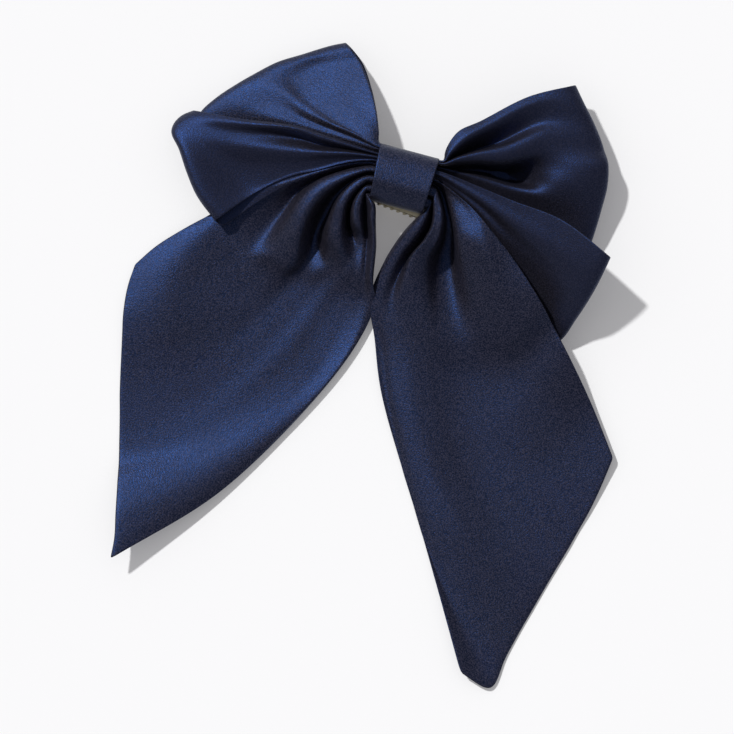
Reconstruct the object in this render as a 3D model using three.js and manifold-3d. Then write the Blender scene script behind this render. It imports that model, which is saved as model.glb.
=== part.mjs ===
// Hair bow clip: four ribbon loops and two ribbon tails gathered into a knot band, with a toothed metal clip
// behind it. The bow lies on its back. Millimetres, +Z up from the surface it lies on, X along the bow,
// +Y towards the tops of the loops, -Y towards the ends of the tails.
import * as THREE from 'three';
import { mergeVertices } from 'three/addons/utils/BufferGeometryUtils.js';
import Module from 'manifold-3d';

const wasm = await Module();
wasm.setup();

// Overall sizes of the bow.
const loopSpan = 159;          // tip to tip over the left and right loops
const tailDrop = 164;          // from the middle of the knot band down to the lower tail's tip
const heightOverClip = 14.4;   // knot band, from its underside to its top

// Cloth.
const clothWall = 1;           // two layers of satin with their lining
const fitGap = 0.3;            // between pieces that touch on the real bow

// Knot band: a short sleeve round the gathered cloth.
const bandLength = 20.6;       // along X
const bandDepth = 19.6;        // along Y
const bandWall = 1;
const bandCorner = 3.6;        // radius of its long edges
const tuck = 8;                // how far the gathered ends reach into it
const leadOut = 1.2;           // straight cloth just outside it
const clipCover = 1.6;         // from the clip's top to the middle of the cloth over it
const coverMargin = 2;         // how far past the clip's outline that height is kept
const coverSlope = 0.9;        // how steeply the cloth may fall from there

// Clip: a fixed arm fastened under the band, and a toothed jaw with a lever, hinged on a pin.
const clipYaw = THREE.MathUtils.degToRad(-5.7);
const clipMiddle = new THREE.Vector2(0, -6.2);
const jawReach = 42;           // pin to jaw tip
const leverReach = 15;         // pin to lever end
const pinAlong = 14;           // pin from the middle of the band, along the clip
const jawWidth = 8;
const armWidth = jawWidth + 2 * fitGap;
const metal = 0.8;             // sheet thickness of both arms
const leverClearance = 0.3;    // lever end above the surface
const leverDrop = 3.5;         // how far the lever falls from the jaw's level
const mouthGap = 3.4;          // between the two arms
const pinRadius = 0.6;
const pinPlay = 0.3;
const lugRadius = 1.4;
const armLugRadius = 2.2;
const toothPitch = 2.37;
const toothHeight = 1.7;
const toothFoot = 1.7;         // along the jaw
const toothTip = 0.7;
const toothLean = 0.2;         // the tip's near corner from the foot's
const wallHeight = 1.6;        // side wall of the jaw under its teeth
const wallFlare = THREE.MathUtils.degToRad(22);
const springWire = 0.45;
const springTurns = 5;
const springGap = 0.15;        // between turns

// Heights that follow from the clip.
const jawUnder = leverClearance + leverDrop;
const jawTop = jawUnder + metal;
const armUnder = jawTop + mouthGap;
const armTop = armUnder + metal;
const bandUnder = armTop + fitGap;
const pinHeight = (jawTop + armUnder) / 2;

// The rib tables below are drafted at these two sizes; the cloth is graded from them.
const draftedSpan = 159;
const draftedDrop = 164;
const gathersEnd = 45;         // within this reach of the band's middle nothing is graded

// A drafted point moved out or in, as far as it lies past the gathers.
function graded([x, y, z], size, draftedSize) {
  const reach = Math.hypot(x, y);
  const past = Math.max(reach - gathersEnd, 0) / (draftedSize - gathersEnd);
  const factor = (reach + past * (size - draftedSize)) / reach;
  return new THREE.Vector3(x * factor, y * factor, z);
}

const satin = (color) => new THREE.MeshStandardMaterial({ color, roughness: 0.5, metalness: 0 });
const steel = () => new THREE.MeshStandardMaterial({ color: 0x8f8775, roughness: 0.35, metalness: 0.9 });

const bow = new THREE.Group();

function add(name, geometry, material, parent = bow) {
  const mesh = new THREE.Mesh(geometry, material);
  mesh.name = name;
  parent.add(mesh);
  return mesh;
}

// ---- Solids: joining and cutting ----

function toSolid(geometry) {
  const bare = geometry.clone();
  bare.deleteAttribute('normal');
  bare.deleteAttribute('uv');
  const merged = mergeVertices(bare, 1e-4);
  const vertProperties = Float32Array.from(merged.attributes.position.array);
  const triVerts = Uint32Array.from(merged.index.array);
  return new wasm.Manifold(new wasm.Mesh({ numProp: 3, vertProperties, triVerts }));
}

function toGeometry(solid) {
  const mesh = solid.getMesh();
  const geometry = new THREE.BufferGeometry();
  geometry.setAttribute('position', new THREE.BufferAttribute(mesh.vertProperties, 3));
  geometry.setIndex(new THREE.BufferAttribute(mesh.triVerts, 1));
  geometry.computeVertexNormals();
  return geometry;
}

function join(geometries) {
  return toGeometry(geometries.map(toSolid).reduce((whole, piece) => whole.add(piece)));
}

// ---- Cloth: ribs, lofted into a sheet and given a wall ----

// Points along a smooth line through the given ones; steps[i] says how many parts span i is cut into.
function smoothLine(points, steps) {
  const curve = new THREE.CatmullRomCurve3(points, false, 'centripetal');
  const line = [points[0].clone()];
  steps.forEach((count, span) => {
    for (let k = 1; k <= count; k += 1) {
      line.push(curve.getPoint((span + k / count) / (points.length - 1)));
    }
  });
  return line;
}

// How high cloth has to stay over the clip, falling away from the clip's footprint.
function heightNeeded(x, y) {
  const dx = x - clipMiddle.x;
  const dy = y - clipMiddle.y;
  const along = dx * Math.cos(clipYaw) + dy * Math.sin(clipYaw);
  const across = dy * Math.cos(clipYaw) - dx * Math.sin(clipYaw);
  const pastEnds = Math.max(pinAlong - jawReach - along, along - pinAlong - leverReach, 0);
  const pastSides = Math.max(Math.abs(across) - jawWidth / 2 - wallHeight, 0);
  const away = Math.hypot(pastEnds, pastSides);
  const fall = coverSlope * Math.max(away - coverMargin, 0);
  return Math.max(armTop + clipCover - fall, clothWall / 2);
}

// ribs: lines of equal length, side by side across the sheet. acrossParts: parts between two ribs.
function loft(ribs, steps, acrossParts) {
  const lines = ribs.map((rib) => smoothLine(rib, steps));
  const acrossSteps = Array(ribs.length - 1).fill(acrossParts);
  const rows = lines[0].map((_, i) => smoothLine(lines.map((line) => line[i]), acrossSteps));
  rows.forEach((row) => row.forEach((point) => {
    point.z = Math.max(point.z, heightNeeded(point.x, point.y));
  }));
  return rows;
}

// A closed body: the sheet's two faces half a wall to each side of it, and its four edges.
function sheetSolid(rows, wall) {
  const countI = rows.length;
  const countJ = rows[0].length;
  const positions = [];
  for (const face of [1, -1]) {
    for (let i = 0; i < countI; i += 1) {
      for (let j = 0; j < countJ; j += 1) {
        const along = rows[Math.min(i + 1, countI - 1)][j].clone().sub(rows[Math.max(i - 1, 0)][j]);
        const across = rows[i][Math.min(j + 1, countJ - 1)].clone().sub(rows[i][Math.max(j - 1, 0)]);
        const normal = along.cross(across).normalize();
        const point = rows[i][j].clone().addScaledVector(normal, (face * wall) / 2);
        positions.push(point.x, point.y, Math.max(point.z, 0));
      }
    }
  }
  const at = (face, i, j) => face * countI * countJ + i * countJ + j;
  const index = [];
  const quad = (a, b, c, d) => index.push(a, b, c, a, c, d);
  for (let i = 0; i < countI - 1; i += 1) {
    for (let j = 0; j < countJ - 1; j += 1) {
      quad(at(0, i, j), at(0, i + 1, j), at(0, i + 1, j + 1), at(0, i, j + 1));
      quad(at(1, i, j), at(1, i, j + 1), at(1, i + 1, j + 1), at(1, i + 1, j));
    }
    quad(at(0, i, 0), at(1, i, 0), at(1, i + 1, 0), at(0, i + 1, 0));
    quad(at(0, i, countJ - 1), at(0, i + 1, countJ - 1), at(1, i + 1, countJ - 1), at(1, i, countJ - 1));
  }
  for (let j = 0; j < countJ - 1; j += 1) {
    quad(at(0, 0, j), at(0, 0, j + 1), at(1, 0, j + 1), at(1, 0, j));
    quad(at(0, countI - 1, j), at(1, countI - 1, j), at(1, countI - 1, j + 1), at(0, countI - 1, j + 1));
  }
  const geometry = new THREE.BufferGeometry();
  geometry.setAttribute('position', new THREE.Float32BufferAttribute(positions, 3));
  geometry.setIndex(index);
  geometry.computeVertexNormals();
  return geometry;
}

// The inside of the band, where every gathered end is held.
const cavityDepth = bandDepth / 2 - bandWall - fitGap;
const cavityFloor = bandUnder + bandWall + fitGap + clothWall / 2;
const cavityHeight = heightOverClip - 2 * (bandWall + fitGap) - clothWall;

// The two points of a rib in and just outside the band. across runs -1..1 over the cavity, level 0..1.
function mouth(side, across, level) {
  const y = across * cavityDepth;
  const z = cavityFloor + level * cavityHeight;
  const inside = new THREE.Vector3(side * (bandLength / 2 - tuck), y, z);
  const leaving = new THREE.Vector3(side * (bandLength / 2 + leadOut), y, z);
  return [inside, leaving];
}

// One rib of a loop: out from the band along the top, round the fold, and back underneath.
// path: three points on the top and the fold's outermost one.
// under: heights of the underside below the three.
function loopRib(side, across, levels, path, fold, under) {
  const top = path.map((point) => graded(point, loopSpan / 2, draftedSpan / 2));
  const nose = top.pop();
  const inward = new THREE.Vector3().subVectors(top[top.length - 1], nose).setZ(0).setLength(fold);
  const foldTop = nose.clone().add(inward).setZ(nose.z + fold);
  const foldUnder = nose.clone().add(inward).setZ(nose.z - fold);
  const back = top.map((point, i) => point.clone().setZ(under[i])).reverse();
  const topMouth = mouth(side, across, levels[0]);
  const underMouth = mouth(side, across, levels[1]).reverse();
  return [...topMouth, ...top, foldTop, nose, foldUnder, ...back, ...underMouth];
}

const loopSteps = [1, 2, 3, 3, 2, 2, 2, 2, 3, 3, 2, 1];

function loop(name, side, ribs, color) {
  const lines = ribs.map((rib) => loopRib(side, rib.across, rib.levels, rib.path, rib.fold, rib.under));
  const rows = loft(lines, loopSteps, 3);
  if (side > 0) rows.forEach((row) => row.reverse());
  add(name, sheetSolid(rows, clothWall), satin(color));
}

// ---- Loops, each listed rib by rib from its upper edge to its lower edge ----

loop('loop_upper_left', -1, [
  { across: 0.93, levels: [0.62, 0.3], fold: 2.6, under: [9, 4, 1.2],
    path: [[-12.8, 13.5, 16.5], [-14, 21.5, 16], [-20.5, 31, 14.5], [-32, 41, 6]] },
  { across: 0.87, levels: [0.7, 0.3], fold: 2.8, under: [8, 2.5, 1],
    path: [[-16, 14, 18], [-23, 22, 18], [-32, 29, 15.5], [-43, 34.5, 6]] },
  { across: 0.81, levels: [0.62, 0.28], fold: 2.6, under: [7, 2, 0.8],
    path: [[-19, 12, 14.5], [-31, 15, 13.2], [-44, 20, 12], [-55, 27, 5.5]] },
  { across: 0.75, levels: [0.62, 0.26], fold: 2.4, under: [7, 2, 0.8],
    path: [[-21, 9.5, 14], [-36, 11.5, 12.5], [-52, 15, 11], [-65, 17, 5]] },
  { across: 0.69, levels: [0.5, 0.24], fold: 1.8, under: [6, 2, 0.8],
    path: [[-21, 6.8, 10.5], [-38, 4.5, 7.2], [-55, 3.5, 6], [-74, 4, 3.4]] },
], 0x2c3350);

loop('loop_lower_left', -1, [
  { across: 0.52, levels: [0.85, 0.52], fold: 2.2, under: [14.3, 12.8, 10.2],
    path: [[-21, 6.2, 19.5], [-38, 7.3, 18.5], [-58, 4, 16], [-77, 3.4, 11]] },
  { across: 0.45, levels: [0.8, 0.5], fold: 2.4, under: [14, 12, 9.5],
    path: [[-22, 3.8, 17.5], [-38, 2.2, 16.5], [-58, -1, 15], [-82.5, -2, 9.5]] },
  { across: 0.38, levels: [0.83, 0.48], fold: 2.2, under: [14, 12, 8.5],
    path: [[-22, 1.8, 18.5], [-38, -2.5, 18], [-57, -8, 14.5], [-77, -11, 8.5]] },
  { across: 0.31, levels: [0.78, 0.46], fold: 2, under: [14.2, 12.8, 9.6],
    path: [[-22, 0.2, 17], [-37, -6.5, 15.5], [-51, -15, 12.5], [-70, -21, 7.5]] },
  { across: 0.24, levels: [0.7, 0.44], fold: 2, under: [14, 12.6, 9.6],
    path: [[-21, -0.8, 16], [-33, -7, 14.5], [-46, -15, 13.4], [-58.7, -30, 9.4]] },
], 0x333a57);

loop('loop_upper_right', 1, [
  { across: 0.93, levels: [0.6, 0.26], fold: 2.6, under: [9, 3.5, 4],
    path: [[11.8, 15, 16], [16, 23.5, 17], [31, 37, 16], [49, 47, 11]] },
  { across: 0.87, levels: [0.68, 0.26], fold: 2.6, under: [7, 2, 4],
    path: [[17, 14, 18], [28, 20, 18.5], [42, 31, 16], [59, 35.5, 11]] },
  { across: 0.81, levels: [0.58, 0.24], fold: 2.6, under: [6.5, 1.5, 4],
    path: [[20, 12, 14], [34, 17, 12.5], [51, 22.5, 13.5], [68, 21, 11]] },
  { across: 0.75, levels: [0.52, 0.22], fold: 2.4, under: [6, 1.5, 2],
    path: [[22, 8.8, 12.5], [38, 9.5, 11], [53, 10, 12.5], [68.7, 9, 8.5]] },
  { across: 0.69, levels: [0.44, 0.2], fold: 1.8, under: [5, 1.5, 1],
    path: [[22, 6.4, 9.5], [38, 2.5, 6.2], [54, -1, 6.2], [68.5, -5, 4.6]] },
], 0x2a3150);

loop('loop_lower_right', 1, [
  { across: 0.52, levels: [0.9, 0.52], fold: 3, under: [14.6, 14, 14.5],
    path: [[20, 4.9, 20.5], [38, 2.5, 22], [57, 0, 24.5], [75.5, -8, 24]] },
  { across: 0.45, levels: [0.83, 0.5], fold: 3, under: [13.4, 12, 11.5],
    path: [[22, 2.6, 19], [39, -2.5, 20.5], [57, -7.5, 22], [74.2, -15.5, 20]] },
  { across: 0.38, levels: [0.76, 0.46], fold: 3, under: [12.4, 9.5, 8],
    path: [[21, 0.8, 16.6], [38, -7, 16.6], [55, -16, 16.5], [72, -24, 14]] },
  { across: 0.31, levels: [0.66, 0.42], fold: 2.2, under: [11.4, 7.5, 4.5],
    path: [[22, -1.8, 14.6], [38, -11.5, 12.4], [54, -24, 10], [69, -33, 8.2]] },
  { across: 0.24, levels: [0.56, 0.38], fold: 1.5, under: [11.6, 5, 2],
    path: [[22, -4.2, 13.2], [37, -15.5, 9], [51, -29, 5.6], [62, -39, 3.2]] },
], 0x30364f);

// ---- Tails: one sheet each, listed from its upper edge to the edge beside the other tail ----

function tail(name, side, ribs, color) {
  const lines = ribs.map(({ across, level, path }) => [
    ...mouth(side, across, level),
    ...path.map((point) => graded(point, tailDrop, draftedDrop)),
  ]);
  const steps = [1, 2, 3, 3, 3, 3, 3];
  const rows = loft(lines, steps, 2);
  if (side > 0) rows.forEach((row) => row.reverse());
  add(name, sheetSolid(rows, clothWall), satin(color));
}

tail('tail_left', -1, [
  { across: 0.08, level: 0.12,
    path: [[-21, 1, 11], [-34, -5, 8.2], [-47, -15.5, 4.6],
      [-63, -29, 2.2], [-73, -39, 2], [-82.5, -51, 1]] },
  { across: 0.03, level: 0.34,
    path: [[-21, -2.8, 12.4], [-32, -10.4, 10.2], [-45, -20, 7],
      [-58, -35, 2.6], [-70, -48, 1.6], [-84, -58, 0.8]] },
  { across: -0.05, level: 0.2,
    path: [[-20, -3, 11.6], [-28, -10, 9.6], [-36, -20, 5],
      [-47, -38, 2], [-63, -56, 0.6], [-82.5, -68, 0.6]] },
  { across: -0.14, level: 0.42,
    path: [[-18.5, -2.6, 14.2], [-27, -9, 13], [-33, -20, 10.5],
      [-36, -38, 4], [-52, -62, 0.8], [-80, -80, 0.6]] },
  { across: -0.26, level: 0.24,
    path: [[-16.5, -4, 12], [-23, -13, 9.6], [-26.5, -25, 4.6],
      [-31, -42, 1.6], [-46, -68, 0.6], [-76.5, -92, 0.6]] },
  { across: -0.4, level: 0.46,
    path: [[-15.5, -5, 14.4], [-20, -12, 13.4], [-21, -22, 11],
      [-22, -38, 5], [-38, -72, 0.8], [-73.5, -104, 0.6]] },
  { across: -0.56, level: 0.26,
    path: [[-14, -8, 12.2], [-16, -14.5, 10.4], [-15.5, -24, 6],
      [-14, -42, 2.4], [-30, -78, 0.8], [-70, -118, 0.6]] },
  { across: -0.74, level: 0.44,
    path: [[-13, -9, 13.8], [-13, -15.5, 12.4], [-10.5, -23, 9.4],
      [-8, -44, 3.6], [-22, -86, 1.2], [-66, -139, 2]] },
  { across: -0.92, level: 0.22,
    path: [[-11, -11.2, 11.4], [-8.4, -14, 9.8], [-4.6, -24, 6],
      [-1.2, -48, 1.6], [-15.6, -94, 1], [-63, -153.5, 8.5]] },
], 0x2b3149);

tail('tail_right', 1, [
  { across: 0.17, level: 0.78,
    path: [[20, -1, 19], [35, -10, 16.6], [52, -24.5, 13.4],
      [67, -40, 9], [80, -54, 5], [95, -74, 3.8]] },
  { across: 0.08, level: 0.9,
    path: [[18, -3, 20.5], [27, -12, 18], [42, -28, 12],
      [56, -46, 6], [72, -66, 2.4], [92.5, -90, 2]] },
  { across: -0.06, level: 0.68,
    path: [[16.5, -4.5, 16.4], [21, -14.5, 14.4], [28, -28, 8.4],
      [44, -54, 2], [64, -82, 0.8], [88.5, -106, 1]] },
  { across: -0.2, level: 0.84,
    path: [[14, -5.5, 19], [16, -14, 17.4], [18, -27, 11.4],
      [32, -60, 2], [55, -96, 0.8], [85, -121, 0.8]] },
  { across: -0.42, level: 0.6,
    path: [[12.4, -8, 15.2], [13.4, -15, 13.4], [11.5, -26, 8],
      [20, -62, 1.4], [45, -108, 0.8], [81.5, -134, 0.8]] },
  { across: -0.62, level: 0.7,
    path: [[11, -10, 16.4], [9, -16.5, 15], [5.5, -26, 10.6],
      [10, -62, 1.6], [36, -116, 0.8], [75.5, -162, 2.4]] },
  { across: -0.8, level: 0.48,
    path: [[10.6, -12, 13.4], [5.6, -15.6, 11.4], [0.8, -26, 7.4],
      [0.6, -49, 1.4], [27.6, -98, 0.8], [64.5, -161.5, 4.6]] },
], 0x2d334b);

// ---- Knot band: a sleeve along X ----

function roundedRectangle(width, height, radius) {
  const x = width / 2 - radius;
  const y = height / 2 - radius;
  const shape = new THREE.Shape();
  shape.absarc(x, y, radius, 0, Math.PI / 2);
  shape.absarc(-x, y, radius, Math.PI / 2, Math.PI);
  shape.absarc(-x, -y, radius, Math.PI, 1.5 * Math.PI);
  shape.absarc(x, -y, radius, 1.5 * Math.PI, 2 * Math.PI);
  return shape;
}

function knotBand() {
  const outline = roundedRectangle(bandDepth, heightOverClip, bandCorner);
  const innerDepth = bandDepth - 2 * bandWall;
  const innerHeight = heightOverClip - 2 * bandWall;
  outline.holes.push(roundedRectangle(innerDepth, innerHeight, Math.max(bandCorner - bandWall, 0.4)));
  const geometry = new THREE.ExtrudeGeometry(outline, { depth: bandLength, bevelEnabled: false, curveSegments: 6 });
  geometry.translate(0, 0, -bandLength / 2);
  geometry.rotateY(Math.PI / 2);
  geometry.rotateX(Math.PI / 2);
  geometry.translate(0, 0, bandUnder + heightOverClip / 2);
  return geometry;
}

add('knot_band', knotBand(), satin(0x32354c));

// ---- Clip: local X along it from the pin to the lever's end, local Y across it, origin on the pin's axis ----

const clip = new THREE.Group();
clip.rotation.z = clipYaw;
clip.position.set(
  clipMiddle.x + pinAlong * Math.cos(clipYaw),
  clipMiddle.y + pinAlong * Math.sin(clipYaw),
  pinHeight,
);
bow.add(clip);

// A side profile, drawn in X and Z, as a plate of the given width across the clip, centred on y.
function acrossClip(shape, width, y = 0) {
  const geometry = new THREE.ExtrudeGeometry(shape, { depth: width, bevelEnabled: false, curveSegments: 8 });
  geometry.translate(0, 0, -width / 2);
  geometry.rotateX(Math.PI / 2);
  geometry.translate(0, y, 0);
  return geometry;
}

function polygon(points) {
  return new THREE.Shape(points.map(([x, y]) => new THREE.Vector2(x, y)));
}

// A lug round the pin, with its foot on a plate at the height foot.
function lug(radius, foot, y) {
  const shape = new THREE.Shape();
  const up = Math.sign(foot);
  shape.moveTo(-radius, foot);
  shape.lineTo(-radius, 0);
  shape.absarc(0, 0, radius, Math.PI, 0, up < 0);
  shape.lineTo(radius, foot);
  shape.closePath();
  const hole = new THREE.Path();
  hole.absarc(0, 0, pinRadius + pinPlay, 0, 2 * Math.PI);
  shape.holes.push(hole);
  return acrossClip(shape, metal, y);
}

const half = mouthGap / 2;
const armLugOffset = armWidth / 2 - metal / 2;
const jawLugOffset = armLugOffset - metal - fitGap;

function fixedArm() {
  const plate = acrossClip(polygon([
    [-jawReach, half],
    [leverReach, half],
    [leverReach, half + metal],
    [-jawReach, half + metal],
  ]), armWidth);
  const lugs = [1, -1].map((side) => lug(armLugRadius, half + metal / 2, side * armLugOffset));
  return join([plate, ...lugs]);
}

// The jaw's side wall: a strip with teeth along its upper edge, flared outwards.
function toothedWall(side) {
  const length = jawReach - 2 * lugRadius - metal;
  const count = Math.floor(length / toothPitch);
  const points = [[0, 0], [count * toothPitch, 0]];
  for (let k = count - 1; k >= 0; k -= 1) {
    const start = k * toothPitch;
    points.push([start + toothPitch, wallHeight]);
    points.push([start + toothFoot, wallHeight]);
    points.push([start + toothLean + toothTip, wallHeight + toothHeight]);
    points.push([start + toothLean, wallHeight + toothHeight]);
    points.push([start, wallHeight]);
  }
  const geometry = acrossClip(polygon(points), metal);
  geometry.translate(0, side * metal / 2, 0);
  geometry.rotateX(-side * wallFlare);
  geometry.translate(-jawReach, side * (jawWidth / 2 - metal), -half - metal / 2);
  return geometry;
}

function jaw() {
  const bend = 2 * lugRadius;
  const plate = acrossClip(polygon([
    [-jawReach, -half - metal],
    [bend, -half - metal],
    [leverReach, -half - metal - leverDrop],
    [leverReach, -half - leverDrop],
    [bend, -half],
    [-jawReach, -half],
  ]), jawWidth - 2 * metal);
  const lugs = [1, -1].map((side) => lug(lugRadius, -half - metal / 2, side * jawLugOffset));
  const front = new THREE.BoxGeometry(jawReach - 2 * armLugRadius, jawWidth, metal);
  front.translate(-jawReach / 2 - armLugRadius, 0, -half - metal / 2);
  return join([plate, front, ...lugs, toothedWall(1), toothedWall(-1)]);
}

function pin() {
  return new THREE.CylinderGeometry(pinRadius, pinRadius, armWidth + 2 * metal, 16);
}

// A torsion coil round the pin, with a leg under the fixed arm and a leg over the lever.
function spring() {
  const coilRadius = pinRadius + pinPlay + springWire / 2;
  const legReach = leverReach / 2;
  const pitch = springWire + springGap;
  const start = -springTurns * pitch / 2;
  const points = [new THREE.Vector3(legReach, start, coilRadius)];
  const perTurn = 10;
  const parts = springTurns * perTurn + perTurn / 2;
  for (let k = 0; k <= parts; k += 1) {
    const turn = (2 * Math.PI * k) / perTurn;
    const y = start + (pitch * k) / perTurn;
    points.push(new THREE.Vector3(-coilRadius * Math.sin(turn), y, coilRadius * Math.cos(turn)));
  }
  const slope = (half - coilRadius - 1.7 * springWire) / legReach;
  points.push(new THREE.Vector3(legReach, start + (pitch * parts) / perTurn, -coilRadius - slope * legReach));
  const path = new THREE.CatmullRomCurve3(points, false, 'centripetal');
  const section = new THREE.Shape();
  section.absarc(0, 0, springWire / 2, 0, 2 * Math.PI);
  return new THREE.ExtrudeGeometry(section, {
    steps: points.length * 2,
    extrudePath: path,
    curveSegments: 3,
    bevelEnabled: false,
  });
}

add('clip_arm', fixedArm(), steel(), clip);
add('clip_jaw', jaw(), steel(), clip);
add('clip_pin', pin(), steel(), clip);
add('clip_spring', spring(), steel(), clip);

// ---- Frame: origin under the middle of the bow's outline, on the surface ----

const box = new THREE.Box3().setFromObject(bow);
bow.position.set(-(box.min.x + box.max.x) / 2, -(box.min.y + box.max.y) / 2, -box.min.z);
bow.updateMatrixWorld(true);

const hairBowClip = new THREE.Group();
hairBowClip.add(bow);

export default hairBowClip;
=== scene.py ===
import math

import bmesh
import bpy
import numpy as np
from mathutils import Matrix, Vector


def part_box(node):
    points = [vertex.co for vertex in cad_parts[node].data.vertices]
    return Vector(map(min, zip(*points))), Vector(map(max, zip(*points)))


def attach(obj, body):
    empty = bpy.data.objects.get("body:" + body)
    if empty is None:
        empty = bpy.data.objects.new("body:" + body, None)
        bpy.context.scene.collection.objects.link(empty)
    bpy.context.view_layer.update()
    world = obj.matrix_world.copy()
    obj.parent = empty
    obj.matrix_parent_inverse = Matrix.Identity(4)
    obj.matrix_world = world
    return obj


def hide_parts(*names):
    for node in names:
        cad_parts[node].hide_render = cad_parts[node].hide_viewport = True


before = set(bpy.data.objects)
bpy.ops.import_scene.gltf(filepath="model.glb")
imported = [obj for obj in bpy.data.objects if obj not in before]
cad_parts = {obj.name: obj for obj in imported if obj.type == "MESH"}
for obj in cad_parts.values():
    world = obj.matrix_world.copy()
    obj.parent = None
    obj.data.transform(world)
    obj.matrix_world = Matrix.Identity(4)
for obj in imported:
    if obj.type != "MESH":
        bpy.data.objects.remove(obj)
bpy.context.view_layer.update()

# ----------------------------------------------------------------------------------------------------
# The middle of the bow, where its gathered cloth is held: every piece is measured from here in plan, and
# from the surface that the bow lies on in height. The camera looks straight down on it, turned a little.

MM = 0.001
band_low, band_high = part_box("knot_band")
knot = (band_low + band_high) / 2
knot.z = 0

view_middle = Vector((4.3, -66.2, 0)) * MM
view_height = 1.5
view_width = 0.2569
view_turn = math.radians(15)

eye = bpy.data.cameras.new("eye")
eye.sensor_width = 36
eye.lens = eye.sensor_width * view_height / view_width
eye.clip_end = 20
eye_object = bpy.data.objects.new("eye", eye)
eye_object.location = knot + view_middle + Vector((0, 0, view_height))
eye_object.rotation_euler = (0, 0, view_turn)
bpy.context.scene.collection.objects.link(eye_object)
bpy.context.scene.camera = eye_object

# ----------------------------------------------------------------------------------------------------
# The table top: a wide sheet of matt white card. Its faint glow stands for light bounced back from a white
# studio, which lifts the shadows. One hard key lamp and one wide soft box stand in the same direction,
# beyond the bow's upper left side, in an even pale surround.

card_size = 3.0
card_white = 0.775
card_glow = 0.155

card_mesh = bmesh.new()
bmesh.ops.create_grid(card_mesh, x_segments=2, y_segments=2, size=card_size / 2)
card_data = bpy.data.meshes.new("white_card")
card_mesh.to_mesh(card_data)
card_mesh.free()
card = bpy.data.objects.new("white_card", card_data)
bpy.context.scene.collection.objects.link(card)

card_paper = bpy.data.materials.new("white_paper")
card_paper.use_nodes = True
paper_shader = card_paper.node_tree.nodes["Principled BSDF"]
paper_shader.inputs["Base Color"].default_value = (card_white, card_white, card_white, 1)
paper_shader.inputs["Roughness"].default_value = 0.9
paper_shader.inputs["Specular IOR Level"].default_value = 0.1
paper_shader.inputs["Emission Color"].default_value = (1, 0.98, 1, 1)
paper_shader.inputs["Emission Strength"].default_value = card_glow
card_data.materials.append(card_paper)

lamp_from = Vector((-0.836, 0.549, 0))
lamp_rise = math.radians(50)
lamp_direction = lamp_from * math.cos(lamp_rise) + Vector((0, 0, math.sin(lamp_rise)))
lamps = {"key": {"strength": 2.85, "spread": 3}, "soft_box": {"strength": 0.3, "spread": 100}}
for lamp_name, setting in lamps.items():
    lamp = bpy.data.lights.new(lamp_name, "SUN")
    lamp.energy = setting["strength"]
    lamp.angle = math.radians(setting["spread"])
    lamp_object = bpy.data.objects.new(lamp_name, lamp)
    lamp_object.rotation_euler = lamp_direction.to_track_quat("Z", "Y").to_euler()
    bpy.context.scene.collection.objects.link(lamp_object)

surround_colour = (0.96, 0.96, 1.0, 1)
surround_strength = 0.28

surround = bpy.data.worlds.new("surround")
bpy.context.scene.world = surround
surround.use_nodes = True
surround.node_tree.nodes["Background"].inputs["Color"].default_value = surround_colour
surround.node_tree.nodes["Background"].inputs["Strength"].default_value = surround_strength
bpy.context.scene.view_settings.view_transform = "Standard"

# ----------------------------------------------------------------------------------------------------
# Upper left loop: a navy satin ribbon folded back on itself and open at its sides, lying behind the lower
# left loop. Its two ends are pleated together, and the knot band holds them. Each rib below runs outward
# along a pleat, in millimetres from the knot, and its last point is the fold.


def smooth(points, parts):
    """A smooth line through points, cut into parts[i] pieces between point i and the next."""
    points = np.asarray(points, dtype=float)
    steps = np.sqrt(np.linalg.norm(np.diff(points, axis=0), axis=-1, keepdims=True)) + 1e-9
    slopes = np.diff(points, axis=0) / steps
    inner = (slopes[:-1] * steps[1:] + slopes[1:] * steps[:-1]) / (steps[:-1] + steps[1:])
    tangents = np.concatenate([slopes[:1], inner, slopes[-1:]])
    line = [points[:1]]
    for i, count in enumerate(parts):
        for k in range(1, count + 1):
            s = k / count
            line.append((
                (2 * s**3 - 3 * s**2 + 1) * points[i]
                + (s**3 - 2 * s**2 + s) * steps[i] * tangents[i]
                + (3 * s**2 - 2 * s**3) * points[i + 1]
                + (s**3 - s**2) * steps[i] * tangents[i + 1]
            )[None])
    return np.concatenate(line)


def loft(ribs, parts_along, parts_across):
    """Rows of points over the ribs: first index along a rib, second across them."""
    lines = np.stack([smooth(rib, parts_along) for rib in ribs])
    return np.swapaxes(smooth(lines, parts_across), 0, 1)


def looped(top, under, fold, flare):
    """A rib's whole run: along the top, round the fold, and back at the under heights, moved by flare."""
    top = [Vector(point) for point in top]
    nose = top.pop()
    inward = top[-1] - nose
    inward.z = 0
    inward.length = fold
    rise = Vector((0, 0, fold))
    back = []
    for number, (point, height) in enumerate(zip(top, under)):
        outward_share = number / (len(top) - 1)
        back.append(Vector((point.x, point.y, height)) + flare * outward_share**2)
    return [*top, nose + inward + rise, nose, nose + inward - rise + flare * 0.8, *reversed(back)]


cloth_thickness = 0.5


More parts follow.
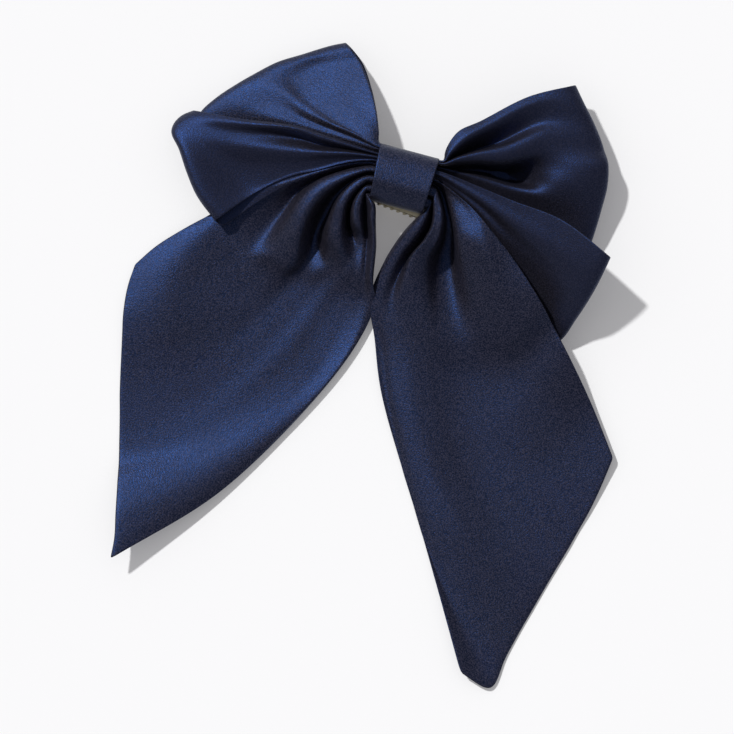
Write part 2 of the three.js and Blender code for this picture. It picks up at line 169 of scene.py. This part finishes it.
def ribbon(name, rows):
    """A piece of cloth through the rows of points, as a closed body with a soft rolled edge."""
    count_along, count_across = rows.shape[:2]
    mesh = bmesh.new()
    bmesh.ops.create_grid(
        mesh, x_segments=count_across - 1, y_segments=count_along - 1, size=1, calc_uvs=False
    )
    uv = mesh.loops.layers.uv.new("cloth")
    widths = np.linalg.norm(np.diff(rows, axis=1), axis=-1).sum(axis=1)
    steps_along = np.linalg.norm(np.diff(rows, axis=0), axis=-1).mean(axis=1)
    lengths = np.concatenate([[0], np.cumsum(steps_along)])
    width = widths.max()
    for vert in mesh.verts:
        across = round((vert.co.x + 1) / 2 * (count_across - 1))
        along = round((vert.co.y + 1) / 2 * (count_along - 1))
        vert.index = along * count_across + across
        x, y, z = rows[along, across]
        vert.co = knot + Vector((x, y, z)) * MM
    for face in mesh.faces:
        face.smooth = True
        for corner in face.loops:
            along, across = divmod(corner.vert.index, count_across)
            corner[uv].uv = (width * across / (count_across - 1), lengths[along])
    data = bpy.data.meshes.new(name)
    mesh.to_mesh(data)
    mesh.free()
    piece = bpy.data.objects.new(name, data)
    bpy.context.scene.collection.objects.link(piece)
    wall = piece.modifiers.new("wall", "SOLIDIFY")
    wall.thickness = cloth_thickness * MM
    wall.offset = 0
    wall.use_quality_normals = True
    soft = piece.modifiers.new("soft", "SUBSURF")
    soft.levels = 1
    soft.render_levels = 1
    return piece


grain_fineness = 2300
grain_depth = 0.00016
slub_fineness = 55
gloss_smooth = 0.33
gloss_dull = 0.45
light_thread_gain = 2.2


def satin_cloth(name, ground, gloss_tint, thread_contrast):
    """Navy satin: a dark dyed ground under a blue gloss, with the fine sparkling grain of its threads."""
    cloth = bpy.data.materials.new(name)
    cloth.use_nodes = True
    nodes, links = cloth.node_tree.nodes, cloth.node_tree.links
    shader = nodes["Principled BSDF"]
    shader.inputs["Specular IOR Level"].default_value = 0.58
    shader.inputs["Specular Tint"].default_value = (*gloss_tint, 1)
    shader.inputs["Coat Weight"].default_value = 0.22
    shader.inputs["Coat Roughness"].default_value = 0.6

    place = nodes.new("ShaderNodeTexCoord")
    grain = nodes.new("ShaderNodeTexNoise")
    grain.inputs["Scale"].default_value = grain_fineness
    grain.inputs["Detail"].default_value = 1
    grain.inputs["Roughness"].default_value = 0.7
    links.new(place.outputs["Object"], grain.inputs["Vector"])
    slubs = nodes.new("ShaderNodeTexNoise")
    slubs.inputs["Scale"].default_value = slub_fineness
    slubs.inputs["Detail"].default_value = 3
    links.new(place.outputs["Object"], slubs.inputs["Vector"])

    spread = nodes.new("ShaderNodeMapRange")
    spread.inputs["From Min"].default_value = 0.4
    spread.inputs["From Max"].default_value = 0.66
    links.new(grain.outputs["Fac"], spread.inputs["Value"])
    shade = nodes.new("ShaderNodeMix")
    shade.data_type = "RGBA"
    dark_thread = 1 - thread_contrast
    light_thread = 1 + light_thread_gain * thread_contrast
    shade.inputs["A"].default_value = (*[value * dark_thread for value in ground], 1)
    shade.inputs["B"].default_value = (*[value * light_thread for value in ground], 1)
    links.new(spread.outputs["Result"], shade.inputs["Factor"])
    links.new(shade.outputs["Result"], shader.inputs["Base Color"])

    gloss = nodes.new("ShaderNodeMapRange")
    gloss.inputs["From Min"].default_value = 0.3
    gloss.inputs["From Max"].default_value = 0.7
    gloss.inputs["To Min"].default_value = gloss_smooth
    gloss.inputs["To Max"].default_value = gloss_dull
    links.new(slubs.outputs["Fac"], gloss.inputs["Value"])
    links.new(gloss.outputs["Result"], shader.inputs["Roughness"])

    relief = nodes.new("ShaderNodeBump")
    relief.inputs["Strength"].default_value = 1
    relief.inputs["Distance"].default_value = grain_depth
    links.new(grain.outputs["Fac"], relief.inputs["Height"])
    links.new(relief.outputs["Normal"], shader.inputs["Normal"])
    return cloth


navy = satin_cloth(
    "navy_satin", ground=(0.0112, 0.0099, 0.0138), gloss_tint=(0.045, 0.24, 0.95), thread_contrast=0.85
)
# A darker copy of the same satin for the lower left and both right loops. Its darker ground is painted
# shade, standing for the lamp's light falling less on these loops, and its grain is fainter.
painted_shade_navy = satin_cloth(
    "navy_satin_painted_shade", ground=(0.0084, 0.0075, 0.011), gloss_tint=(0.05, 0.22, 0.9), thread_contrast=0.4
)

loop_parts = [2, 6, 8, 8, 8, 8, 3, 3, 8, 8, 8, 8, 6, 2]


def loop(name, node, side, mouths, ribs, unders, fold, flares, parts_across, finish):
    """One loop. mouths is where it starts inside the band, from the middle, and its under layer's height
    there. unders, fold and flares have one value for the first rib and one for the last."""
    lines = []
    last = len(ribs) - 1
    for number, top in enumerate(ribs):
        share = number / last
        under = [a + (b - a) * share for a, b in zip(*unders)]
        turn = fold[0] + (fold[1] - fold[0]) * share
        flare = Vector(flares[0]) * (1 - share) ** 3 + Vector(flares[1]) * share**3
        start = (side * mouths[0], top[0][1], top[0][2])
        end = (side * mouths[0], top[0][1], mouths[1])
        lines.append([start, *looped(top, under, turn, flare), end])
    if side < 0:
        lines.reverse()
    rows = loft(lines, loop_parts, [parts_across] * last)
    piece = ribbon(name, rows)
    piece.data.materials.append(finish)
    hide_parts(node)
    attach(piece, "bow")
    return piece


upper_left_ribs = [
    [(-11.5, 9.6, 17.4), (-12.8, 13.6, 17.4), (-15.6, 20.4, 16.4), (-19.8, 28, 13.4), (-25.4, 35.6, 9.8),
     (-32, 41, 6.4)],
    [(-11.5, 9.4, 18.2), (-15, 13, 17.8), (-19, 19, 15.8), (-25, 27, 12.2), (-31, 34, 8.8),
     (-37, 38.6, 5.6)],
    [(-11.5, 9.1, 18.6), (-17.4, 12, 17.8), (-25, 17.6, 14.8), (-33, 24.4, 10.8), (-40, 30.2, 7.4),
     (-46, 33, 5)],
    [(-11.5, 8.8, 18.8), (-19, 10.9, 17.8), (-28.6, 13.2, 15), (-39, 18, 11), (-46.4, 23, 7.8),
     (-53.4, 28.4, 4.6)],
    [(-11.5, 8.4, 18.8), (-20, 10.4, 17.8), (-30, 12, 15.4), (-39.6, 14.4, 12.2), (-48, 18.6, 9.4),
     (-60, 22.4, 4.4)],
    [(-11.5, 8, 17.8), (-20, 9.4, 16.2), (-30, 10.6, 13.8), (-40.6, 12, 11.2), (-50, 14.6, 9),
     (-65.4, 17, 4.2)],
    [(-11.5, 7.6, 17.6), (-21, 8, 15.8), (-34, 8.6, 13), (-45, 9.2, 10.8), (-56, 9.6, 8.2),
     (-71, 10.6, 3.8)],
    [(-11.5, 7, 16.6), (-22, 6.2, 14), (-36, 5.4, 11), (-48, 4.8, 8.4), (-60, 4.2, 6.2), (-75, 4, 3.4)],
    [(-11.5, 6.4, 15.4), (-22, 4.6, 12), (-36, 2.4, 9.4), (-48, 0.6, 7.2), (-60, -1.6, 5.4),
     (-75, -2.5, 3.2)],
]
upper_left = loop(
    "upper_left_loop", "loop_upper_left", side=-1, mouths=(4, 13.5), ribs=upper_left_ribs,
    unders=([14, 10, 6, 3.5, 2.2], [12.5, 7, 3, 1.6, 1.2]), fold=(2.2, 1.4),
    flares=((1, 0.2, 0), (0, 0, 0)), parts_across=6, finish=navy,
)

# ----------------------------------------------------------------------------------------------------
# Lower left loop: a folded ribbon of the same satin, in front of the upper one and over the left tail's
# upper edge. Its outer end is rolled to a blunt tip, and its ends are pleated into the knot band.

lower_left_ribs = [
    [(-11.5, 6.4, 17.6), (-21, 7, 17.6), (-32, 7.6, 17.4), (-41, 8, 17), (-60, 5.6, 14), (-77, 4.4, 7.6)],
    [(-11.5, 6, 18.4), (-21, 6.2, 18.6), (-32, 6.4, 18.6), (-41, 7, 18.2), (-60, 4, 14.8),
     (-80.6, 1.6, 7.6)],
    [(-11.5, 5.4, 16.4), (-21, 5, 15.4), (-31, 4, 13.4), (-40, 4.2, 12.8), (-60, 1.4, 13),
     (-82.4, -1.6, 8.4)],
    [(-11.5, 4.8, 18.6), (-21, 3.6, 18.2), (-30, 1.6, 17.2), (-38, 0, 16), (-60, -3.6, 13.2),
     (-82.4, -5, 9.6)],
    [(-11.5, 4.3, 17.6), (-21, 2.2, 16.6), (-30, -1, 15), (-38, -4, 13.6), (-57, -9, 11),
     (-78.4, -9.8, 11.4)],
    [(-11.5, 3.9, 17.2), (-21, 1.2, 15.8), (-30, -3, 14), (-38, -7, 12.4), (-53, -14.6, 10),
     (-73.6, -17, 12)],
    [(-11.5, 3.7, 17.2), (-21, 0.7, 15.8), (-30, -4, 13.8), (-38, -8.2, 12.2), (-50, -17, 10),
     (-68, -24, 12)],
    [(-11.5, 3.5, 17), (-21, 0.3, 15.8), (-30, -4.8, 14), (-38, -8.8, 12.6), (-48, -17, 10.4),
     (-59.4, -30.6, 11.4)],
]
lower_left = loop(
    "lower_left_loop", "loop_lower_left", side=-1, mouths=(4, 15), ribs=lower_left_ribs,
    unders=([15.6, 14.6, 13.6, 12.8, 10], [14.4, 13.4, 12.4, 11.6, 9.2]), fold=(2, 1.6),
    flares=((0, 0, 0), (1.4, -3, -0.4)), parts_across=7, finish=painted_shade_navy,
)

# ----------------------------------------------------------------------------------------------------
# Upper right loop: the ribbon loop that lies behind on the right, of the same satin. Its pleats are held in
# the knot band and part in one deep pocket beside it.

upper_right_ribs = [
    [(11.3, 9.4, 17.4), (11.2, 13.6, 17.6), (13.6, 20.6, 17.4), (20, 26, 17), (34, 38.7, 16),
     (48.8, 47, 13)],
    [(11.3, 9, 18.4), (13, 12.6, 18.8), (17, 18.8, 18.8), (24.4, 25.8, 18), (38.6, 38, 16.6),
     (53, 42, 13)],
    [(11.3, 8.7, 16), (14.6, 11.6, 12.6), (20.4, 15.8, 10.2), (28.6, 21.2, 11.2), (42, 32, 15),
     (58, 36.5, 12)],
    [(11.3, 8.3, 19), (15.6, 11.4, 19), (21.6, 15, 18.8), (30.6, 19.6, 18.2), (43, 28, 16.8),
     (62.4, 30.8, 11.6)],
    [(11.3, 8.1, 18.6), (16, 10.2, 18.2), (22.4, 12.4, 17.8), (31.6, 14.8, 17.2), (45, 22.6, 16.4),
     (64.4, 27.6, 11.6)],
    [(11.3, 7.8, 14), (16.8, 9.3, 10.5), (24, 11, 5.4), (33.6, 12.4, 3), (47.4, 17.4, 14.8),
     (66.8, 23.6, 13.4)],
    [(11.3, 7.5, 12.6), (17.2, 8.4, 9), (25.4, 9.6, 4.6), (35.8, 9.6, 2.6), (50, 12.6, 15),
     (68.6, 16, 12)],
    [(11.3, 7.1, 15.4), (17.4, 7.3, 13.6), (26, 7.6, 12), (37, 7.2, 11.6), (50.6, 7.6, 13.6),
     (68.8, 8.6, 10)],
    [(11.3, 6.4, 15), (18, 5.6, 12.4), (27, 4.2, 10.6), (38, 3, 9.6), (52, 1.6, 9.6), (68.7, 0.6, 8)],
    [(11.3, 5.6, 13.8), (18, 3.8, 11), (27, 1.2, 9), (38, -1.4, 8), (52, -4, 7.4), (68.5, -5.2, 6)],
]
upper_right = loop(
    "upper_right_loop", "loop_upper_right", side=1, mouths=(4, 13), ribs=upper_right_ribs,
    unders=([13, 8.6, 5.4, 4, 6], [12, 7, 3, 1.6, 1.8]), fold=(2.2, 1.4),
    flares=((0, 0, 0), (0, 0, 0)), parts_across=6, finish=painted_shade_navy,
)

# ----------------------------------------------------------------------------------------------------
# Lower right loop: the ribbon loop in front of the upper one and behind the right tail, of the same satin,
# pleated into the knot band. Its outer corner stands up off the surface.

lower_right_ribs = [
    [(11.3, 5.6, 19.6), (18, 5, 20), (27, 3.8, 20.4), (38, 2.3, 21.4), (56, 0.2, 24.2), (75.4, -8, 25.6)],
    [(11.3, 5, 19.4), (18, 4, 19.6), (27, 2, 20), (38, -0.4, 20.8), (56, -4.6, 23), (74.8, -12, 24)],
    [(11.3, 4.5, 19.6), (18, 2.8, 19.6), (27, 0, 19.8), (37, -4, 20), (54, -10.2, 21),
     (73.6, -18.6, 20.6)],
    [(11.3, 4, 18.4), (18, 1.6, 17.8), (27, -1.8, 17.4), (36, -6.6, 16.8), (52, -15, 16.4),
     (72, -25, 17)],
    [(11.3, 3.6, 17.6), (18, 0.8, 17.2), (26, -3.2, 17), (35, -9, 15.8), (50, -20, 12),
     (70, -31.5, 11.4)],
    [(11.3, 3.1, 17.2), (18, -0.6, 15.6), (25.6, -5.4, 14), (34, -12.4, 12.4), (48, -27, 8),
     (66.8, -40, 5.4)],
    [(11.3, 2.7, 15.4), (18, -2, 13.4), (25, -8, 12), (33, -16, 9.6), (45, -31, 5.6), (60, -45, 2.6)],
]
lower_right = loop(
    "lower_right_loop", "loop_lower_right", side=1, mouths=(4, 15), ribs=lower_right_ribs,
    unders=([15.8, 15.2, 15, 15, 18], [13, 11.6, 10.4, 8, 4]), fold=(1.8, 1.4),
    flares=((0, 0, 0), (0, 0, 0)), parts_across=8, finish=painted_shade_navy,
)

# ----------------------------------------------------------------------------------------------------
# Tails: one length of the satin ribbon each, gathered into the band at one end and cut on a slant to a
# blunt tip at the other. They run down off the knot in deep pleats and lie flat on the table further out.
# Each rib runs along a pleat, and the rib of the tail's outer edge comes first.

tail_parts = [2, 5, 6, 6, 7, 8, 6, 7, 9, 10, 10]
tail_root = 4
pleat_left = 0.2
floor_gap = 0.05


def tail(name, node, side, ribs, parts_across, settle, swell):
    """A tail from its ribs. One more point is put in, settle of the way from the seventh to the eighth,
    where the pleats have almost died away. swell moves it to the right, most at the last rib."""
    lines = []
    for number, rib in enumerate(ribs):
        settled = Vector(rib[6]).lerp(Vector(rib[7]), settle)
        settled.x += swell * (number / (len(ribs) - 1)) ** 2
        settled.z = rib[7][2] + pleat_left * (rib[6][2] - rib[7][2])
        lines.append([(side * tail_root, rib[0][1], rib[0][2]), *rib[:7], settled, *rib[7:]])
    if side < 0:
        lines.reverse()
    rows = loft(lines, tail_parts, [parts_across] * (len(ribs) - 1))
    rows[..., 2] = np.maximum(rows[..., 2], cloth_thickness / 2 + floor_gap)
    piece = ribbon(name, rows)
    piece.data.materials.append(navy)
    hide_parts(node)
    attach(piece, "bow")
    return piece


left_tail_ribs = [
    [(-11.5, 4.4, 13.4), (-16, 3.4, 12.6), (-22, 1, 11.6), (-30, -3, 10.6), (-40, -8.5, 8.6),
     (-52, -18, 6), (-62, -28.5, 4), (-70, -36, 2.4), (-78, -44.5, 1.2), (-83.4, -52.5, 0.8)],
    [(-11.5, 2.6, 15.6), (-16, 1.6, 15.2), (-22.4, -1, 14.6), (-30, -5.6, 13.6), (-38, -10.8, 12),
     (-47, -17, 9), (-55, -25.4, 6.2), (-64, -37, 4), (-74.6, -51, 2.8), (-83.9, -61, 1.2)],
    [(-11.5, 1.8, 11.8), (-15.8, 0.6, 11), (-22.2, -2.8, 10), (-29, -7.4, 8.6), (-34.6, -13.4, 6.4),
     (-38.6, -22.6, 4), (-45, -36, 3.4), (-58, -50, 2.8), (-70.6, -62, 3.2), (-83, -70, 1.8)],
    [(-11.5, 1.2, 17.2), (-16, -0.6, 17.4), (-21.8, -3.8, 17), (-28.4, -9, 16.2), (-32.6, -15.4, 14.6),
     (-35.4, -24, 11.6), (-36.6, -37, 6.6), (-51, -58, 2), (-66.4, -71.5, 2.4), (-81.4, -77.5, 1.6)],
    [(-11.5, 0, 17.8), (-15.4, -1.7, 18.2), (-20.2, -5.2, 18), (-25.6, -10.8, 17.4), (-29, -17.6, 16),
     (-30.4, -26.4, 13.4), (-30.4, -38, 7.6), (-46, -62, 1.4), (-63, -78, 1.4), (-80, -84, 1.2)],
    [(-11.5, -0.8, 12), (-15.2, -2.6, 10.8), (-19, -6.4, 9.8), (-22.8, -12, 6.4), (-25, -18.6, 3.2),
     (-25.8, -26.8, 1.6), (-25.8, -37, 3.2), (-41.5, -65, 0.9), (-59.6, -84, 0.8), (-78.6, -90.5, 0.8)],
    [(-11.5, -1.5, 12.4), (-14.9, -3.4, 11), (-18.3, -7.2, 9.8), (-21.2, -12.4, 6.4), (-22.8, -18.8, 3),
     (-23.6, -26.6, 2), (-20.6, -36.6, 3.6), (-37, -67.5, 0.9), (-56.4, -89.5, 0.6), (-77, -97.5, 0.6)],
    [(-11.5, -2.2, 17.4), (-15, -4.2, 17.6), (-18, -8, 17), (-20.2, -12.8, 16), (-21, -18.6, 13.8),
     (-20.8, -26, 10.4), (-16.6, -35.6, 4.8), (-32.4, -70, 1), (-53, -94.5, 0.6), (-75, -105, 0.6)],
    [(-11.5, -3.4, 17.4), (-14.2, -5.6, 17.8), (-16.6, -9.2, 17.4), (-17.8, -13.6, 16.6),
     (-17.6, -19, 14.8), (-16.4, -26.2, 12.6), (-13.2, -34.6, 6.2), (-27.6, -72.5, 1.4),
     (-49.4, -99.5, 1), (-73, -113, 0.8)],
    [(-11.5, -4.6, 12), (-13.7, -7, 10.4), (-15.3, -10.4, 9), (-15.8, -14.8, 6), (-14.8, -20.2, 4.4),
     (-11.8, -24.6, 7), (-10.6, -34, 7), (-22.2, -74, 1.4), (-45.6, -105, 1.8), (-71, -121, 1.8)],
    [(-11.5, -5.6, 17), (-13.2, -8, 17.2), (-14.2, -11.2, 16.8), (-14.2, -14.8, 16.2), (-12.8, -19, 15),
     (-10.4, -23.8, 8), (-8.6, -34, 7), (-17.4, -74.6, 1.6), (-42.4, -108.8, 3), (-69.8, -126.6, 4.4)],
    [(-11.5, -6.8, 16.8), (-12.4, -9, 16.8), (-12.4, -11.8, 16.4), (-12, -15.2, 15.8),
     (-10.6, -19.2, 14.6), (-8.8, -23.4, 8.4), (-6.8, -34.2, 7.4), (-12.8, -74, 1.9), (-39.6, -111.6, 4),
     (-68.6, -132, 6.2)],
    [(-11.3, -7.8, 12.6), (-11.4, -9.8, 11.6), (-11, -12.4, 10.2), (-9.8, -15.4, 9), (-8.8, -19.2, 8),
     (-7, -23.6, 7.4), (-4.8, -34.8, 7), (-8.6, -72, 2.5), (-36.4, -114.4, 4.4), (-67.2, -138.4, 8)],
    [(-11, -8.6, 18), (-9.6, -10.4, 19.8), (-8, -12.8, 19.4), (-7.6, -15.6, 18.4), (-6.2, -19.2, 16.8),
     (-4.6, -24.4, 14.2), (-2.8, -35, 10.4), (-5.2, -69, 3), (-33.6, -117, 4), (-65.4, -146.5, 9.2)],
    [(-9.4, -9.7, 17.6), (-7.6, -11.2, 18.6), (-6.8, -13.2, 18), (-6, -16.2, 16.8), (-5, -19.8, 15),
     (-3.4, -25.4, 12.4), (-1.4, -37, 8.6), (-3.1, -64.8, 2.6), (-32.4, -119.5, 3), (-64.8, -154, 10)],
]
left_tail = tail(
    "left_tail", "tail_left", side=-1, ribs=left_tail_ribs, parts_across=6, settle=0.26, swell=3.2
)

right_tail_ribs = [
    [(11, 2.4, 17.6), (15, 1.1, 17.4), (20, -1, 17.8), (26, -4.1, 19), (33, -9, 19.6), (43, -16.4, 18.4),
     (57, -29, 17), (70.5, -43.5, 11), (83.5, -58.5, 4.8), (95.6, -74.6, 3.8)],
    [(11, 2.1, 17), (15, 0.6, 16.8), (20.6, -2.2, 17.4), (26.4, -6.8, 19), (32, -14, 20.2), (39, -25, 17),
     (50, -42, 10), (64.5, -59, 4.8), (79, -72, 2.6), (94, -87, 2.2)],
    [(11, 1.7, 15.6), (14.4, 0, 15.2), (17.6, -4.2, 15.6), (20.4, -9.4, 16.4), (23.2, -15, 16.6),
     (27.6, -24.4, 12.4), (40.6, -44.6, 6.6), (58, -70, 2), (74.5, -85, 1.2), (92.4, -95.6, 1.4)],
    [(11, 1.2, 12), (14, -0.9, 10.8), (16.9, -5, 10.6), (19.6, -10.2, 10.4), (21.6, -16, 5.4),
     (23.4, -23.4, 3.6), (33, -47, 4.4), (52, -76, 1.2), (70, -93, 0.9), (90.6, -102.6, 1)],
    [(11, 0.3, 12.4), (13.1, -2, 11.2), (15.8, -6.2, 10.6), (17.8, -10.8, 10.4), (18.8, -16.4, 5.4),
     (18.6, -24.4, 4), (26.6, -47.8, 5), (47, -80.6, 1), (66, -99.5, 0.9), (89, -109, 1)],
    [(11, -0.7, 19.4), (12.7, -3, 19.6), (14.8, -6.8, 20), (16.2, -11.4, 19.6), (16.4, -16.8, 16.8),
     (15.4, -25.4, 10.6), (21.6, -48, 6), (42, -84.4, 1.5), (62, -106, 1.3), (87, -116, 0.9)],
    [(11, -1.9, 20), (12.4, -4.3, 20.2), (14, -8.1, 19.8), (14.8, -12.6, 19), (14.4, -17.6, 16.6),
     (13, -25.8, 12.6), (16.6, -46.5, 6.4), (36.6, -86, 2.6), (57.6, -111, 2.4), (84.8, -124, 0.8)],
    [(11, -3, 19.8), (12, -5.4, 19.8), (13.2, -8.8, 19.4), (13.7, -13, 18.6), (12.6, -18.2, 16.8),
     (9.4, -26, 13.2), (10.4, -44, 6.2), (30, -85.5, 3.4), (53, -115, 3.2), (82.4, -133, 0.8)],
    [(11, -3.8, 13), (11.7, -6.2, 11.4), (12.5, -9.2, 10.2), (12.9, -13.4, 9), (11.6, -18.8, 7.6),
     (8, -26.8, 6.8), (6.2, -43, 5), (24.4, -83, 3.2), (48.5, -118.5, 2.8), (80, -142, 0.8)],
    [(10.8, -4.8, 18.2), (10.9, -7.4, 18), (10.6, -10.6, 17.2), (9.8, -14.8, 16), (8, -19.4, 14),
     (4.8, -27, 10.6), (3.4, -43, 5.2), (19.4, -80.5, 2.4), (44, -120.5, 1.8), (77.6, -152, 1)],
    [(10.4, -7, 17.6), (9.4, -9.6, 16.8), (8, -12.6, 15.8), (6.4, -16.2, 14.6), (4.6, -20.8, 12.6),
     (2.4, -28, 9.6), (1, -43, 4.8), (15.6, -78, 1.2), (40.6, -120.5, 0.8), (75.2, -163.6, 1.8)],
    [(10, -9, 14.6), (8, -11.4, 13.6), (6.2, -14.2, 12.4), (4.4, -17.8, 11.2), (2.6, -22.4, 9.8),
     (0.6, -29.4, 7.6), (-1, -43, 4.4), (11.6, -74, 1.4), (37.4, -116.5, 0.8), (63.5, -161, 4.6)],
]
right_tail = tail(
    "right_tail", "tail_right", side=1, ribs=right_tail_ribs, parts_across=7, settle=0.4, swell=0
)

# ----------------------------------------------------------------------------------------------------
# Knot wrap: a short strip of the same satin, pulled tight round the gathered middle and sewn together at
# the back. Its front is nearly flat, and its lower side rolls under. The profile runs once round it.

wrap_profile = [
    (-9.3, 10.6), (-9.7, 12.4), (-9.9, 15), (-9.6, 17.4), (-8.6, 19.2), (-6.8, 21),
    (-4.8, 22.6), (-2.6, 23.4), (1.6, 23), (5.6, 21.8), (8.4, 19.8), (9.6, 17),
    (9.4, 12.6), (8.2, 9.8), (5, 9.3), (0, 9.3), (-5, 9.3), (-8.2, 9.4),
]
wrap_steps = 32
wrap_parts = 4
wrap_left = -10.6
wrap_left_slant = -0.065
wrap_right = 9.5
wrap_right_slant = 0.05
wrap_rows = []
for step in range(wrap_steps + 1):
    share = step / wrap_steps
    profile_points = [(0, y, z) for y, z in wrap_profile + wrap_profile[:3]]
    ring = smooth(profile_points, [wrap_parts] * (len(wrap_profile) + 2))
    left_end = wrap_left + wrap_left_slant * ring[:, 1]
    right_end = wrap_right + wrap_right_slant * ring[:, 1]
    ring[:, 0] = left_end + (right_end - left_end) * share
    wrap_rows.append(ring[wrap_parts:wrap_parts * (len(wrap_profile) + 1) + 1])
wrap_rows = np.array(wrap_rows)
wrap = ribbon("knot_wrap", wrap_rows[:, ::-1])
wrap.data.materials.append(navy)
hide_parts("knot_band")
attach(wrap, "bow")

# ----------------------------------------------------------------------------------------------------
# Clip: pressed spring steel with a brushed pale gold finish, fastened behind the knot. Its arm, toothed
# jaw, pin and coil are the frame's own solids, which get their finish here.

steel_dark = (0.32, 0.28, 0.18, 1)
steel_light = (0.66, 0.6, 0.45, 1)
brushing_fineness = 900
steel_polished = 0.22
steel_dulled = 0.4

clip_steel = bpy.data.materials.new("pale_gold_steel")
clip_steel.use_nodes = True
steel_nodes, steel_links = clip_steel.node_tree.nodes, clip_steel.node_tree.links
steel_shader = steel_nodes["Principled BSDF"]
steel_shader.inputs["Metallic"].default_value = 1
steel_place = steel_nodes.new("ShaderNodeTexCoord")
brushing = steel_nodes.new("ShaderNodeTexNoise")
brushing.inputs["Scale"].default_value = brushing_fineness
steel_links.new(steel_place.outputs["Object"], brushing.inputs["Vector"])
steel_tone = steel_nodes.new("ShaderNodeMix")
steel_tone.data_type = "RGBA"
steel_tone.inputs["A"].default_value = steel_dark
steel_tone.inputs["B"].default_value = steel_light
steel_links.new(brushing.outputs["Fac"], steel_tone.inputs["Factor"])
steel_links.new(steel_tone.outputs["Result"], steel_shader.inputs["Base Color"])
steel_rough = steel_nodes.new("ShaderNodeMapRange")
steel_rough.inputs["To Min"].default_value = steel_polished
steel_rough.inputs["To Max"].default_value = steel_dulled
steel_links.new(brushing.outputs["Fac"], steel_rough.inputs["Value"])
steel_links.new(steel_rough.outputs["Result"], steel_shader.inputs["Roughness"])
for node_name in ("clip_arm", "clip_jaw", "clip_pin", "clip_spring"):
    for material_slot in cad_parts[node_name].material_slots:
        material_slot.material = clip_steel
